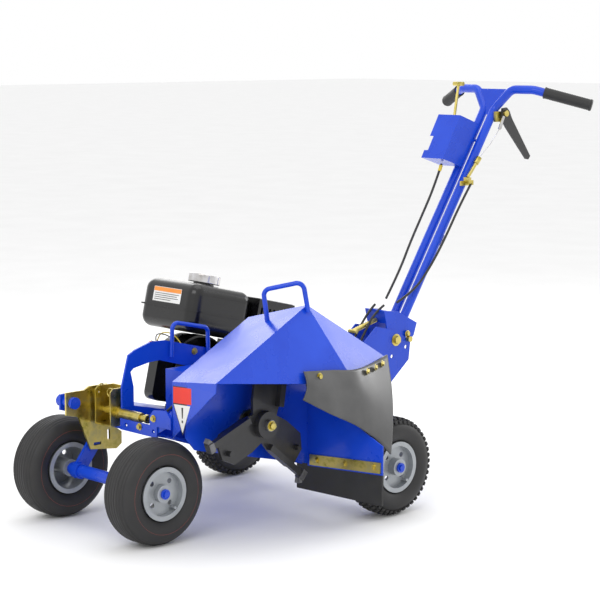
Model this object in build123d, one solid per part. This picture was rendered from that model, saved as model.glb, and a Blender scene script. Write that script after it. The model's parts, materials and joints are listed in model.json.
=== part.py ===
"""Walk-behind bed edger: a three-armed cutting rotor under a folded steel hood, a small petrol engine,
two pairs of wheels and a height-adjustable handlebar. Millimetres, +X to the machine's left (the rotor
side), +Y to the operator, +Z up. Everything is placed from the ground under the left front wheel, and
is moved at the end so that the origin lies at the middle of the base."""
from build123d import *
from math import atan2, cos, hypot, pi, radians, sin, tan
import os

# ---- wheels and axles
FRONT_R, FRONT_WIDTH = 130.0, 102.0
REAR_R, REAR_WIDTH = 128.0, 88.0
FRONT_LEFT_X, FRONT_RIGHT_X = 0.0, -382.5
REAR_LEFT_X, REAR_RIGHT_X = 188.0, -427.0
WHEELBASE = 625.0
BEAD_R, FLANGE_R = 58.0, 66.5
TYRE_WALL = 7.0
HUB_R, HUB_LENGTH = 22.0, 84.0
BEARING_R, BEARING_LENGTH = 17.5, 11.0
AXLE_R, AXLE_TUBE_R = 7.94, 16.0
RUNNING_GAP = 0.05
BODY_GAP = 0.5

# ---- sheet metal
PITCH = 13.5
SHEET = 4.0
RAIL_X = -205.0
RAIL_SHEET = 6.0
WALL_X = 40.0
FLOOR_FRONT_Y, FLOOR_FRONT_Z = 60.0, 247.0
FLOOR_REAR_Y, FLOOR_REAR_Z = 463.0, 131.0
DECK_FRONT_Y, DECK_REAR_Y = 120.0, 590.0
DECK_X = -376.0
HOOD_SHEET = 3.0

# ---- engine and drive
CRANK_Y, CRANK_Z = 420.0, 330.0
ENGINE_FACE_X = -215.0
ENGINE_BASE = 106.0
SHAFT_R = 9.5
BELT_X, BELT_WIDTH, BELT_THICKNESS = -175.0, 12.0, 8.0
DRIVE_PULLEY_R, ROTOR_PULLEY_R, PULLEY_WIDTH = 38.0, 55.0, 20.0
IDLER_R = 20.0

# ---- rotor
ROTOR_X, ROTOR_Y, ROTOR_Z = 100.0, 268.0, 274.0
ROTOR_R = 196.0
ROTOR_SHAFT_R = 12.7
ROTOR_HUB_R = 34.0
ARM_WIDTH, ARM_SHEET = 93.0, 8.0
ARM_ANGLES = (201.5, 321.0, 81.0)
CUTTER_BAR = 16.0

# ---- soil deflector
DEFLECTOR_X, DEFLECTOR_Y = WALL_X + SHEET, 473.0
DEFLECTOR_END_X, DEFLECTOR_END_Y = 303.0, 486.0
DEFLECTOR_SHEET = 3.0

# ---- lifting front axle
PIVOT_Y, PIVOT_Z = -25.0, 310.0
PIVOT_R, PIVOT_TUBE_R = 10.0, 15.0
QUADRANT_X, QUADRANT_SHEET = -295.0, 6.0
ARM_X = -310.0
LOCK_Y, LOCK_Z, LOCK_R = 62.0, 285.0, 8.0
LOCK_STEP = 12.5
LOCK_CLEARANCE = 0.4
BARREL_R = 12.0

# ---- handle
HANDLE_X = -120.0
HANDLE_PIVOT_Y, HANDLE_PIVOT_Z = 927.0, 391.0
HANDLE_BOLT_R = 9.0
TUBE_R, TUBE_SPACING = 12.5, 38.0
CHEEK_OFFSET = 40.0
ADJUST_R, ADJUST_HOLE_R = 47.0, 5.5
ADJUST_ANGLES = (27.0, -2.0, -31.0)
GRIP_R, GRIP_LENGTH = 16.5, 137.0
SPARE_HOLE_Y, SPARE_HOLE_Z = 912.0, 346.0


# ---------------------------------------------------------------- small shape helpers
def block(x0, x1, y0, y1, z0, z1):
    return Pos((x0 + x1) / 2, (y0 + y1) / 2, (z0 + z1) / 2) * Box(x1 - x0, y1 - y0, z1 - z0)


def bar(start, end, radius):
    """A round bar between two points."""
    start, end = Vector(*start), Vector(*end)
    plane = Plane(origin=start, z_dir=end - start)
    return plane * Cylinder(radius, (end - start).length, align=(Align.CENTER, Align.CENTER, Align.MIN))


def along_x(x0, x1, y, z, radius):
    return bar((x0, y, z), (x1, y, z), radius)


def ring_x(x0, x1, y, z, outer, inner):
    x0, x1 = sorted((x0, x1))
    return along_x(x0, x1, y, z, outer) - along_x(x0 - 1, x1 + 1, y, z, inner)


def plate_x(points, x0, x1):
    """An upright plate facing sideways, from its (y, z) outline."""
    face = make_face(Polyline(*[(x0, y, z) for y, z in points], close=True))
    return extrude(face, amount=abs(x1 - x0), dir=(1 if x1 > x0 else -1, 0, 0))


def plate(points, direction, thickness):
    """A flat plate from its corners in space, thickened along a direction."""
    return extrude(make_face(Polyline(*points, close=True)), amount=thickness, dir=direction)


def pipe(points, radii, radius):
    path = FilletPolyline(*points, radius=radii)
    return sweep(Plane(origin=path @ 0, z_dir=path % 0) * Circle(radius), path=path)


def bent_sheet(vertices, triangles, thickness, towards):
    """A closed sheet from outer corners and triangles; the inner skin is moved along `towards`."""
    outer = [Vector(*v) for v in vertices]
    inner = [v + Vector(*towards) * thickness for v in outer]
    faces = []
    count = {}
    for a, b, c in triangles:
        faces.append(make_face(Polyline(outer[a], outer[b], outer[c], close=True)))
        faces.append(make_face(Polyline(inner[a], inner[b], inner[c], close=True)))
        for edge in ((a, b), (b, c), (c, a)):
            key = tuple(sorted(edge))
            count[key] = count.get(key, 0) + 1
    for (a, b), uses in count.items():
        if uses == 1:
            faces.append(make_face(Polyline(outer[a], outer[b], inner[b], inner[a], close=True)))
    return Solid(Shell(faces))


def pitched(y, z, dy, dz):
    """A point (dy, dz) in axes tilted nose-up by the deck's pitch, about (y, z)."""
    a = radians(-PITCH)
    return y + dy * cos(a) - dz * sin(a), z + dy * sin(a) + dz * cos(a)


def fitted(shape, onto):
    """Cuts each solid back to the surface of the piece it is fixed to, and keeps its main part."""
    kept = [max((solid - onto).solids(), key=lambda s: s.volume) for solid in shape.solids()]
    return kept[0] if len(kept) == 1 else Compound(children=kept)


def bolt(point, direction, head_r=6.5, head=5.0, washer_r=9.0):
    """A bolt head on a washer, standing off a surface."""
    p, d = Vector(*point), Vector(*direction).normalized()
    washer = bar(tuple(p), tuple(p + d * 1.6), washer_r)
    hexagon = Plane(origin=p + d * 1.6, z_dir=d) * extrude(RegularPolygon(head_r, 6), head)
    return washer + hexagon


# ---------------------------------------------------------------- wheels
def tyre(x, y, radius, width):
    height = radius - BEAD_R
    corner = height / 2 - 1.5
    section = RectangleRounded(width, height, corner)
    hollow = RectangleRounded(width - 2 * TYRE_WALL, height - 2 * TYRE_WALL, corner - TYRE_WALL)
    profile = Plane.XZ * Pos(0, BEAD_R + height / 2) * (section - hollow)
    return Pos(x, y, radius) * revolve(profile, Axis.X)


def rim(x, y, radius, width, outward):
    half = width / 2 - 11.0
    barrel = ring_x(-half, half, 0, 0, BEAD_R - 0.3, BEAD_R - 3.3)
    flanges = [ring_x(s * half, s * (half + 3.5), 0, 0, FLANGE_R, BEAD_R - 3.3) for s in (-1, 1)]
    web = ring_x(outward * (half - 17), outward * (half - 13), 0, 0, BEAD_R - 3.0, HUB_R - 1)
    holes = [along_x(-60, 60, 38 * cos(a), 38 * sin(a), 6.5)
             for a in (radians(45 + 90 * i) for i in range(4))]
    hub = ring_x(-HUB_LENGTH / 2, HUB_LENGTH / 2, 0, 0, HUB_R, BEARING_R)
    valve = along_x(outward * (half - 14), outward * (half + 6), 30, -38, 3.5)
    shape = barrel + flanges[0] + flanges[1] + (web - holes) + hub + valve
    ends = [s * (HUB_LENGTH / 2 - BEARING_LENGTH) for s in (-1, 1)]
    bearings = [ring_x(e, e + s * BEARING_LENGTH, 0, 0, BEARING_R - 0.02, AXLE_R + RUNNING_GAP)
                for s, e in zip((-1, 1), ends)]
    return Pos(x, y, radius) * Compound(children=[shape] + bearings)


def axle(left_x, right_x, y, z):
    """A tube between the wheels with a turned spindle and a retaining collar at each end."""
    reach = HUB_LENGTH / 2 + BODY_GAP
    tube = along_x(right_x + reach + 6, left_x - reach - 6, y, z, AXLE_TUBE_R)
    shoulders = along_x(right_x + reach, left_x - reach, y, z, 12.0)
    spindle = along_x(right_x - reach - 9, left_x + reach + 9, y, z, AXLE_R)
    collars = [along_x(x + s * reach, x + s * (reach + 5), y, z, 12.5)
               for x, s in ((left_x, 1), (right_x, -1))]
    return tube + shoulders + spindle + collars[0] + collars[1]


# ---------------------------------------------------------------- lifting front axle
def front_axle():
    arm = plate_x([(-14, 112), (14, 112), (30, 140), (74, 196), (60, 216), (40, 216), (-16, 140)],
                  ARM_X, ARM_X + 8)
    foot = plate_x([(30, 176), (74, 182), (74, 206), (44, 214), (26, 200)],
                   ARM_X + 8, QUADRANT_X - QUADRANT_SHEET / 2)
    collar = ring_x(ARM_X - 10, ARM_X + 18, 0, FRONT_R, 21.0, AXLE_TUBE_R - 0.2)
    return axle(FRONT_LEFT_X, FRONT_RIGHT_X, 0, FRONT_R) + arm + foot + collar


def lock_hole(step):
    """The quadrant hole that meets the lock pin when the axle has swung forward by `step` notches."""
    reach = hypot(LOCK_Y - PIVOT_Y, LOCK_Z - PIVOT_Z)
    angle = atan2(LOCK_Z - PIVOT_Z, LOCK_Y - PIVOT_Y) + radians(step * LOCK_STEP)
    return PIVOT_Y + reach * cos(angle), PIVOT_Z + reach * sin(angle)


def quadrant_plate():
    x0, x1 = QUADRANT_X - QUADRANT_SHEET / 2, QUADRANT_X + QUADRANT_SHEET / 2
    outline = [(-46, 338), (12, 338), (28, 346), (84, 346), (115, 224), (128, 215), (128, 184),
               (111, 172), (28, 182), (-8, 271), (-46, 280)]
    shape = plate_x(outline, x0, x1)
    for step in range(3):
        y, z = lock_hole(step)
        shape -= along_x(x0 - 1, x1 + 1, y, z, LOCK_R + LOCK_CLEARANCE)
    shape -= along_x(x0 - 1, x1 + 1, PIVOT_Y, PIVOT_Z, PIVOT_R + RUNNING_GAP)
    shape -= block(x0 - 1, x1 + 1, 82, 90, 200, 226)
    shape -= block(x0 - 1, x1 + 1, 38, 62, 190, 198)
    return shape


def pivot_tube():
    """The swing pivot: a tube welded to a side plate, with a pin through the quadrant."""
    tube = along_x(-345, QUADRANT_X - QUADRANT_SHEET / 2 - BODY_GAP, PIVOT_Y, PIVOT_Z, PIVOT_TUBE_R)
    tube -= block(ARM_X - 4, ARM_X + 10, -60, 60, 100, 260)
    pin = along_x(-299, QUADRANT_X + 14, PIVOT_Y, PIVOT_Z, PIVOT_R)
    nut = along_x(QUADRANT_X + 3.5, QUADRANT_X + 14, PIVOT_Y, PIVOT_Z, 15.0)
    side = plate_x([(-44, 290), (-44, 330), (0, 332), (DECK_FRONT_Y, 294), (DECK_FRONT_Y, 264),
                    (30, 268)], -326, -320)
    return tube + pin + nut + side


def lock_bracket():
    """A U-shaped bracket whose ears carry the spring pin's barrel."""
    ears = [plate_x([(36, 252), (36, 338), (44, 347), (96, 347), (96, 252)], x, x + 4)
            for x in (-282.0, -220.0)]
    back = block(-282, -216, 92, 96, 252, 347)
    base = block(-282, -216, 36, 96, 250, 254)
    shape = ears[0] + ears[1] + back + base
    shape -= along_x(-290, -210, LOCK_Y, LOCK_Z, LOCK_R + LOCK_CLEARANCE)
    shape -= along_x(-290, -270, 45, 333, 6)
    return Compound(children=[shape, lock_barrel()])


def lock_barrel():
    y, z = LOCK_Y, LOCK_Z
    tube = ring_x(-216, -122, y, z, BARREL_R, LOCK_R + RUNNING_GAP)
    nut = ring_x(-216, -206, y, z, 15.0, LOCK_R + RUNNING_GAP)
    strap = block(-160, -140, y - 2, y + 4, 262, z - 11)
    return tube + nut + strap


def lock_pin():
    tip = QUADRANT_X + QUADRANT_SHEET / 2 + 0.8
    pin = along_x(tip, -104, LOCK_Y, LOCK_Z, LOCK_R)
    stop = along_x(-262, -238, LOCK_Y, LOCK_Z, 11.0)
    post = bar((-250, LOCK_Y, LOCK_Z + 9), (-250, LOCK_Y, LOCK_Z + 42), 4.0)
    eye = along_x(-104, -96, LOCK_Y, LOCK_Z, 11.0)
    return pin + stop + post + eye


# ---------------------------------------------------------------- frame
def floor_height(y):
    slope = (FLOOR_REAR_Z - FLOOR_FRONT_Z) / (FLOOR_REAR_Y - FLOOR_FRONT_Y)
    return FLOOR_FRONT_Z + slope * (y - FLOOR_FRONT_Y)


def deck_height(y):
    """The top of the engine deck."""
    base_y, base_z = pitched(CRANK_Y, CRANK_Z, 0, -ENGINE_BASE)
    return base_z - tan(radians(PITCH)) * (y - base_y)


def belly_plate():
    """The floor of the frame, with a turned-up front edge."""
    y0, y1 = FLOOR_FRONT_Y, FLOOR_REAR_Y - SHEET
    floor = plate_x([(y0, floor_height(y0)), (y1, floor_height(y1)),
                     (y1, floor_height(y1) + SHEET), (y0, floor_height(y0) + SHEET)],
                    RAIL_X + RAIL_SHEET, WALL_X)
    floor -= block(-60, WALL_X + 1, y0 - 10, y0 + 24, 200, 300)
    right = block(-285, RAIL_X, y0, y0 + SHEET, 244, 250)
    lip = block(-204, -56, y0 - SHEET, y0, 244, 273)
    for x in (-180, -70):
        lip -= bar((x, y0 - 10, 259), (x, y0 + 10, 259), 5.0)
    ear = plate([(-84, y0, 273), (-84, y0, 296), (-70, y0, 312), (-22, y0, 318), (-2, y0, 300),
                 (-2, y0, 273)], (0, -1, 0), SHEET)
    brace = plate([(-2, y0, 320), (-2, y0, 284), (-60, y0, 254), (-84, y0, 262)], (0, 1, 0), SHEET)
    return floor + right + lip + ear + brace


def arch_plate():
    """The side rail: an arched plate that ties the front bracket to the engine deck."""
    x0, x1 = RAIL_X, RAIL_X + RAIL_SHEET
    outline = [(60, 262), (60, 352), (82, 431), (105, 443), (153, 457), (202, 456), (374, 413),
               (396, 398), (396, deck_height(396) - 18), (100, deck_height(100) - 18), (100, 262)]
    opening = [(97, deck_height(97) + 2), (97, 348), (88, 388), (98, 396), (153, 406), (182, 407),
               (245, 389), (366, 356), (366, deck_height(366) + 2)]
    barrel = along_x(x0 - 1, x1 + 1, LOCK_Y, LOCK_Z, BARREL_R)
    return plate_x(outline, x0, x1) - plate_x(opening, x0 - 1, x1 + 1) - barrel


def arch_handle():
    """A bent lifting rod on the side rail."""
    x = RAIL_X + RAIL_SHEET + 6
    loop = pipe([(x, 216, 412), (x, 220, 502), (x, 338, 476), (x, 340, 386)], [16, 16], 5.5)
    return loop


def engine_deck():
    x0, x1 = DECK_X, RAIL_X
    y0, y1 = DECK_FRONT_Y, DECK_REAR_Y
    deck = plate_x([(y0, deck_height(y0) - SHEET), (y0, deck_height(y0)), (y1, deck_height(y1)),
                    (y1, deck_height(y1) - SHEET)], x0, x1)
    rail = plate_x([(y0, deck_height(y0) - 30), (y0, deck_height(y0) - SHEET),
                    (y1, deck_height(y1) - SHEET), (y1, deck_height(y1) - 30)], x0, x0 + SHEET)
    return deck + rail


def axle_brackets():
    """Side plates that carry the rear axle under the deck."""
    shapes = []
    for x in (DECK_X + SHEET, RAIL_X, WALL_X - RAIL_SHEET):
        top = deck_height(DECK_REAR_Y) - SHEET
        outline = [(400, top + 30), (DECK_REAR_Y, top), (WHEELBASE + 24, top - 30),
                   (WHEELBASE + 24, 104), (WHEELBASE - 24, 104), (500, 128), (400, 150)]
        if x < 0:
            outline = [(y, min(z, deck_height(y) - SHEET)) for y, z in outline]
        side = plate_x(outline, x, x + RAIL_SHEET)
        if x > 0:
            side -= block(x - 1, x + RAIL_SHEET + 1, 390, FLOOR_REAR_Y + 1, 90, 300)
        shapes.append(side - along_x(x - 1, x + 7, WHEELBASE, REAR_R, AXLE_TUBE_R))
    return Compound(children=shapes)


def rotor_wall():
    """The upright plate behind the rotor."""
    rear = DEFLECTOR_Y + DEFLECTOR_SHEET
    outline = [(66, 258), (95, 224), (rear, FLOOR_REAR_Z), (rear, 300), (440, 460), (345, 529), (66, 400)]
    wall = plate_x(outline, WALL_X, WALL_X + SHEET)
    return wall - along_x(WALL_X - 1, WALL_X + 9, ROTOR_Y, ROTOR_Z, 22.0)


def bearing_plate():
    """The inner support of the rotor shaft and the idler."""
    x = -140.0
    outline = [(120, floor_height(120) + SHEET), (FLOOR_REAR_Y - 60, floor_height(FLOOR_REAR_Y - 60) + SHEET),
               (FLOOR_REAR_Y - 60, 260), (330, 330), (230, 330), (120, 260)]
    support = plate_x(outline, x, x + SHEET) - along_x(x - 1, x + 9, ROTOR_Y, ROTOR_Z, 22.0)
    return support + idler_pivot()


def frame_cheeks():
    """Two plates that rise from the rear axle to the handle pivot, joined by a cross plate."""
    axle_y = WHEELBASE
    outline = [(986, 385), (979, 330), (912, 276), (axle_y + 35, 98), (axle_y - 25, 98),
               (axle_y - 65, 190), (axle_y + 15, 270), (850, 436), (914, 421)]
    shapes = []
    for side in (-1, 1):
        x = HANDLE_X + side * CHEEK_OFFSET - SHEET / 2
        cheek = plate_x(outline, x, x + SHEET)
        cheek -= along_x(x - 1, x + 5, HANDLE_PIVOT_Y, HANDLE_PIVOT_Z, HANDLE_BOLT_R)
        cheek -= along_x(x - 1, x + 5, WHEELBASE, REAR_R, AXLE_TUBE_R)
        cheek -= along_x(x - 1, x + 5, SPARE_HOLE_Y, SPARE_HOLE_Z, ADJUST_HOLE_R)
        for angle in ADJUST_ANGLES:
            y = HANDLE_PIVOT_Y + ADJUST_R * cos(radians(angle))
            z = HANDLE_PIVOT_Z + ADJUST_R * sin(radians(angle))
            cheek -= along_x(x - 1, x + 5, y, z, ADJUST_HOLE_R)
        shapes.append(cheek)
    tie = block(HANDLE_X - CHEEK_OFFSET + 2, HANDLE_X + CHEEK_OFFSET - 2, axle_y + 75, axle_y + 79, 160, 262)
    return Compound(children=shapes + [tie])


def hood():
    """The faceted cover over the rotor."""
    v = [(0, 61, 393), (-40, 345, 519), (130, 390, 564), (200, 30, 419), (215, 477, 364),
         (147, 656, 402), (200, 28, 396), (0, 61, 253), (-60, 640, 400)]
    slope = bent_sheet([v[i] for i in (0, 1, 3, 2)], [(0, 1, 2), (1, 3, 2)], HOOD_SHEET, (0, 0.4, -0.92))
    side = plate([v[3], v[2], v[4]], (-0.95, -0.05, -0.3), HOOD_SHEET)
    rear = plate([v[2], v[4], v[5]], (-0.5, -0.5, -0.7), HOOD_SHEET)
    front = bent_sheet([v[i] for i in (0, 3, 6, 7)], [(0, 1, 2), (0, 2, 3)], HOOD_SHEET, (0, 1, 0))
    inner = bent_sheet([v[i] for i in (1, 2, 5, 8)], [(0, 1, 2), (0, 2, 3)], HOOD_SHEET, (0, 0, -1))
    return slope + side + rear + front + inner


def hood_handle():
    """A bent lifting rod over the hood's apex."""
    return pipe([(60, 320, 521), (58, 308, 602), (139, 368, 625), (141, 384, 548)], [18, 18], 6.0)


def lift_handles():
    return Compound(children=[arch_handle(), hood_handle()])


def belt_guard():
    x0, x1 = -193.0, -62.0
    y0, y1, top = 196.0, 500.0, 384.0
    shell = block(x0, x1, y0, y1, 236, top) - block(x0 + 2, x1 - 2, y0 + 2, y1 - 2, 230, top - 2)
    shell -= block(x0 - 1, x0 + 3, CRANK_Y - 24, CRANK_Y + 24, 200, CRANK_Z + 22)
    shell -= block(-143, -133, y0 - 1, y0 + 3, 200, 336)
    return shell - along_x(x1 - 3, x1 + 1, ROTOR_Y, ROTOR_Z, ROTOR_SHAFT_R + 4)


def on_deflector(x, z, forward=0.0):
    """A point on the deflector's front face, or standing off it."""
    slope = (DEFLECTOR_END_Y - DEFLECTOR_Y) / (DEFLECTOR_END_X - DEFLECTOR_X)
    return x, DEFLECTOR_Y + (x - DEFLECTOR_X) * slope - forward, z


def deflector():
    """The plate that turns the soil out to the side."""
    outline = [(DEFLECTOR_X, 126), (DEFLECTOR_X, 318), (222, 318), (228, 250),
               (DEFLECTOR_END_X, 216), (DEFLECTOR_END_X, 142)]
    return plate([on_deflector(x, z) for x, z in outline], (0, 1, 0), DEFLECTOR_SHEET)


def deflector_strip():
    """A plated strip that clamps the skirt to the deflector."""
    x0, x1, rise, width = DEFLECTOR_X + 10, DEFLECTOR_END_X - 5, 16, 28
    corners = [(x0, 130), (x1, 130 + rise), (x1, 130 + rise + width), (x0, 130 + width)]
    strip = plate([on_deflector(x, z) for x, z in corners], (0, -1, 0), 3.0)
    for t in (0.1, 0.5, 0.9):
        x, z = x0 + t * (x1 - x0), 130 + width / 2 + t * rise
        strip += bolt(on_deflector(x, z, 2.9), (0, -1, 0))
    return strip


def rubber_skirt():
    corners = [(2, 128), (298, 146), (298, 62), (2, 60)]
    return plate([on_deflector(x, z, -3.4) for x, z in corners], (0, 1, 0), 6.0)


FLAP_TOP = [(204, 307, 415), (205, 396, 408), (209, 477, 400), (178, 566, 400), (152, 652, 410)]
FLAP_FOOT = [(226, 285, 350), (243, 360, 308), (256, 440, 268), (268, 498, 226), (277, 539, 184)]
FLAP_ROWS = 4
FLAP_BULGE = 10.0


def flap_point(column, row):
    top, foot = Vector(*FLAP_TOP[column]), Vector(*FLAP_FOOT[column])
    t = row / FLAP_ROWS
    return top + (foot - top) * t + Vector(0.9, 0.4, 0) * FLAP_BULGE * sin(pi * t)


def rubber_flap():
    """A curved sheet that hangs from the hood's lower edge over the discharge side."""
    columns = len(FLAP_TOP)
    points = [tuple(flap_point(c, r)) for r in range(FLAP_ROWS + 1) for c in range(columns)]
    triangles = []
    for r in range(FLAP_ROWS):
        for c in range(columns - 1):
            a = r * columns + c
            triangles += [(a, a + 1, a + columns), (a + 1, a + columns + 1, a + columns)]
    return bent_sheet(points, triangles, 4.0, (0.85, 0.5, 0))


def frame_bolts():
    heads = [bolt((214.5, 352, 399), (1, 0.1, 0)), bolt((207.5, 526, 389), (0.8, 0.6, 0)),
             bolt((192.5, 570, 392), (0.8, 0.6, 0)), bolt((177.5, 610, 395), (0.8, 0.6, 0)),
             bolt((RAIL_X + RAIL_SHEET, 297, 417), (1, 0, 0)),
             bolt((-124, 56, 263), (0, -1, 0)), bolt((-68, 56, 292), (0, -1, 0))]
    return Compound(children=heads)


# ---------------------------------------------------------------- engine
def seat(shape):
    """Puts an engine piece, drawn about the crankshaft's end, onto the pitched deck."""
    return Pos(ENGINE_FACE_X, CRANK_Y, CRANK_Z) * Rot(-PITCH, 0, 0) * shape


def crankcase_block():
    outer = block(-112, 0, -86, 90, -100, 62)
    outer = fillet(outer.edges().filter_by(Axis.X), 26)
    base = block(-112, -4, -98, 100, -ENGINE_BASE, -97)
    cover = along_x(-1, 6, 0, 0, 70)
    hollow = block(-104, -8, -76, 80, -88, 52)
    drain = bar((-80, -80, -88), (-80, -94, -88), 9)
    return outer + base + cover + drain - hollow


def crankcase():
    seal = along_x(-10, 8, 0, 0, SHAFT_R + 1.0)
    return seat(crankcase_block() - seal)


def cylinder():
    shape = block(-100, -14, 60, 172, -42, 42)
    for i in range(8):
        y = 84 + 11 * i
        shape += block(-110, -4, y, y + 3.5, -56, 56)
    shape += block(-100, -14, 172, 196, -40, 40)
    shape -= block(-86, -28, 50, 160, -30, 30)
    shape = Pos(0, 0, -6) * Rot(22, 0, 0) * shape
    shape -= crankcase_block()
    shape -= block(-112, 0, -86, 90, -100, 62)
    shape -= block(-300, 50, 60, 300, 99, 300)
    return seat(shape)


def fan_housing():
    drum = along_x(-150, -112.4, 0, 0, 100)
    duct = block(-150, -112.4, 0, 120, -60, 70)
    intake = fillet(block(-148, -113, -148, -70, -92, 44).edges().filter_by(Axis.X), 22)
    shape = drum + duct + intake
    return seat(shape - along_x(-146, -111, 0, 0, 94))


def recoil_start():
    """The fan housing with the pull starter's cover on it."""
    return Compound(children=[fan_housing(), recoil_cover()])


def recoil_cover():
    cover = chamfer(along_x(-204, -150.4, 0, 0, 98).edges(), 9)
    ring = ring_x(-206, -203, 0, 0, 62, 44)
    switch_box = block(-203, -177, -110, -80, 34, 62)
    return seat(cover + ring + switch_box - along_x(-198, -150, 0, 0, 88))


def recoil_grip():
    grip = block(-226, -212, 60, 96, 60, 74)
    grip = fillet(grip.edges(), 4)
    return seat(grip + bar((-219, 78, 60.5), (-219, 78, 52), 5))


def fuel_tank():
    outer = fillet(block(-228, -8, -150, 59, 101, 232).edges(), 30)
    flange = block(-236, 0, -157, 65, 157, 161)
    flange = fillet(flange.edges().filter_by(Axis.Z), 34)
    hollow = fillet(block(-225, -11, -147, 56, 104, 229).edges(), 27)
    neck = bar((-84, -62, 229), (-84, -62, 236), 28)
    return seat(outer + flange + neck - hollow)


def fuel_cap():
    cap = bar((-84, -62, 236.4), (-84, -62, 260), 43)
    cap = fillet(cap.edges(), 3)
    return seat(cap)


def muffler():
    can = fillet(block(-104, -6, 80, 196, 118, 214).edges(), 20)
    guard = block(-110, 0, 72, 204, 112, 222) - block(-107, -3, 75, 201, 100, 219)
    for i in range(8):
        y = 82 + 15 * i
        guard -= block(-90, -20, y, y + 7, 210, 230)
        guard -= block(-10, 5, y, y + 7, 140, 200)
    return seat(Compound(children=[can - fillet(block(-101, -9, 83, 193, 121, 211).edges(), 17), guard]))


def air_cleaner():
    box = fillet(block(-212, -118, 74, 190, 100, 205).edges(), 12)
    return seat(box - block(-206, -124, 80, 184, 106, 199))


def carburettor():
    body = block(-200, -132, 122, 168, 52, 98)
    panel = block(-205, -125, 168, 172, 44, 98)
    lever = block(-150, -142, 172.6, 176, 58, 98) + block(-154, -138, 172.6, 190, 94, 98)
    return seat(Compound(children=[body + panel, lever]))


def choke_lever():
    lever = block(-186, -178, 172.6, 176, 60, 92)
    knob = bar((-182, 172.6, 92), (-182, 184, 92), 6)
    return seat(lever + knob + bar((-182, 172.6, 62), (-182, 180, 62), 5))


def engine_switch():
    body = bar((-190, -110.4, 48), (-190, -124, 48), 12)
    return seat(fillet(body.edges(), 3))


# ---------------------------------------------------------------- drive
def pulley(y, z, radius):
    x0, x1 = BELT_X - PULLEY_WIDTH / 2, BELT_X + PULLEY_WIDTH / 2
    groove_half = BELT_WIDTH / 2 + 0.5
    groove = ring_x(BELT_X - groove_half, BELT_X + groove_half, y, z, radius + 1, radius - 12)
    return along_x(x0, x1, y, z, radius) - groove


def drive_pulley():
    shaft = along_x(ENGINE_FACE_X - 60, BELT_X + PULLEY_WIDTH / 2 + 8, CRANK_Y, CRANK_Z, SHAFT_R)
    return pulley(CRANK_Y, CRANK_Z, DRIVE_PULLEY_R) + shaft


def rotor_pulley():
    return pulley(ROTOR_Y, ROTOR_Z, ROTOR_PULLEY_R) - along_x(-200, -150, ROTOR_Y, ROTOR_Z, ROTOR_SHAFT_R)


def belt_loop(inset):
    rounds = [CenterArc((ROTOR_Y, ROTOR_Z), ROTOR_PULLEY_R - inset, 0, 360),
              CenterArc((CRANK_Y, CRANK_Z), DRIVE_PULLEY_R - inset, 0, 360)]
    return extrude(Plane.YZ * make_hull(rounds), BELT_WIDTH)


def drive_belt():
    loop = belt_loop(1.0) - belt_loop(1.0 + BELT_THICKNESS)
    return Pos(BELT_X - BELT_WIDTH / 2, 0, 0) * loop


def idler_centre():
    """The idler sits outside the belt's lower run, halfway between the pulleys."""
    dy, dz = CRANK_Y - ROTOR_Y, CRANK_Z - ROTOR_Z
    span = hypot(dy, dz)
    reach = (DRIVE_PULLEY_R + ROTOR_PULLEY_R) / 2 + IDLER_R + 1.0
    return (ROTOR_Y + CRANK_Y) / 2 + reach * dz / span, (ROTOR_Z + CRANK_Z) / 2 - reach * dy / span


IDLER_PIVOT_Y, IDLER_PIVOT_Z = 300.0, 212.0


def idler_arm():
    y, z = idler_centre()
    x0, x1 = BELT_X + 13, BELT_X + 18
    width = 9
    outline = [(IDLER_PIVOT_Y - width, IDLER_PIVOT_Z + width), (y - 4, z + 11), (y + 11, z),
               (y + 4, z - 11), (IDLER_PIVOT_Y + width, IDLER_PIVOT_Z - width),
               (IDLER_PIVOT_Y - width, IDLER_PIVOT_Z - width)]
    arm = plate_x(outline, x0, x1)
    stub = along_x(BELT_X - 9, x1, y, z, 5.0)
    hole = along_x(x0 - 1, x1 + 1, IDLER_PIVOT_Y, IDLER_PIVOT_Z, 6.0 + RUNNING_GAP)
    return arm + stub - hole


def idler_pivot():
    return along_x(BELT_X + 11, -140, IDLER_PIVOT_Y, IDLER_PIVOT_Z, 6.0)


def idler_pulley():
    y, z = idler_centre()
    return ring_x(BELT_X - 8, BELT_X + 8, y, z, IDLER_R, 5.0 + RUNNING_GAP)


def rotor_shaft():
    shaft = along_x(-188, ROTOR_X + 26, ROTOR_Y, ROTOR_Z, ROTOR_SHAFT_R)
    nut = along_x(ROTOR_X + 22, ROTOR_X + 32, ROTOR_Y, ROTOR_Z, 14.0)
    return shaft + nut


def rotor_bearings():
    shapes = []
    for x, outward in ((WALL_X, 1), (-140.0, -1)):
        face = x + SHEET if outward > 0 else x
        flange = ring_x(face, face + outward * 8, ROTOR_Y, ROTOR_Z, 30.0, ROTOR_SHAFT_R + RUNNING_GAP)
        shapes.append(flange)
    return Compound(children=shapes)


def on_arm(angle, shape):
    """Turns a piece drawn along +Y from the rotor's centre into one of the arms."""
    return Pos(ROTOR_X, ROTOR_Y, ROTOR_Z) * Rot(angle, 0, 0) * shape


def arm_shape():
    half = ARM_WIDTH / 2
    reach = ROTOR_R - 44
    outline = [(0, -half * 0.75), (60, -half), (reach - 18, -half), (reach, -half + 14),
               (reach, half - 30), (reach - 30, half), (60, half), (0, half * 0.75)]
    blade = plate_x(outline, -ARM_SHEET / 2, ARM_SHEET / 2)
    edge = half - CUTTER_BAR / 2
    rail = block(ARM_SHEET / 2, ARM_SHEET / 2 + CUTTER_BAR, 46, reach + 22, -edge - 8, -edge + 8)
    pegs = bar((ARM_SHEET / 2, reach - 22, 10), (ARM_SHEET / 2 + 14, reach - 22, 10), 7)
    return blade + rail + pegs


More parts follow.
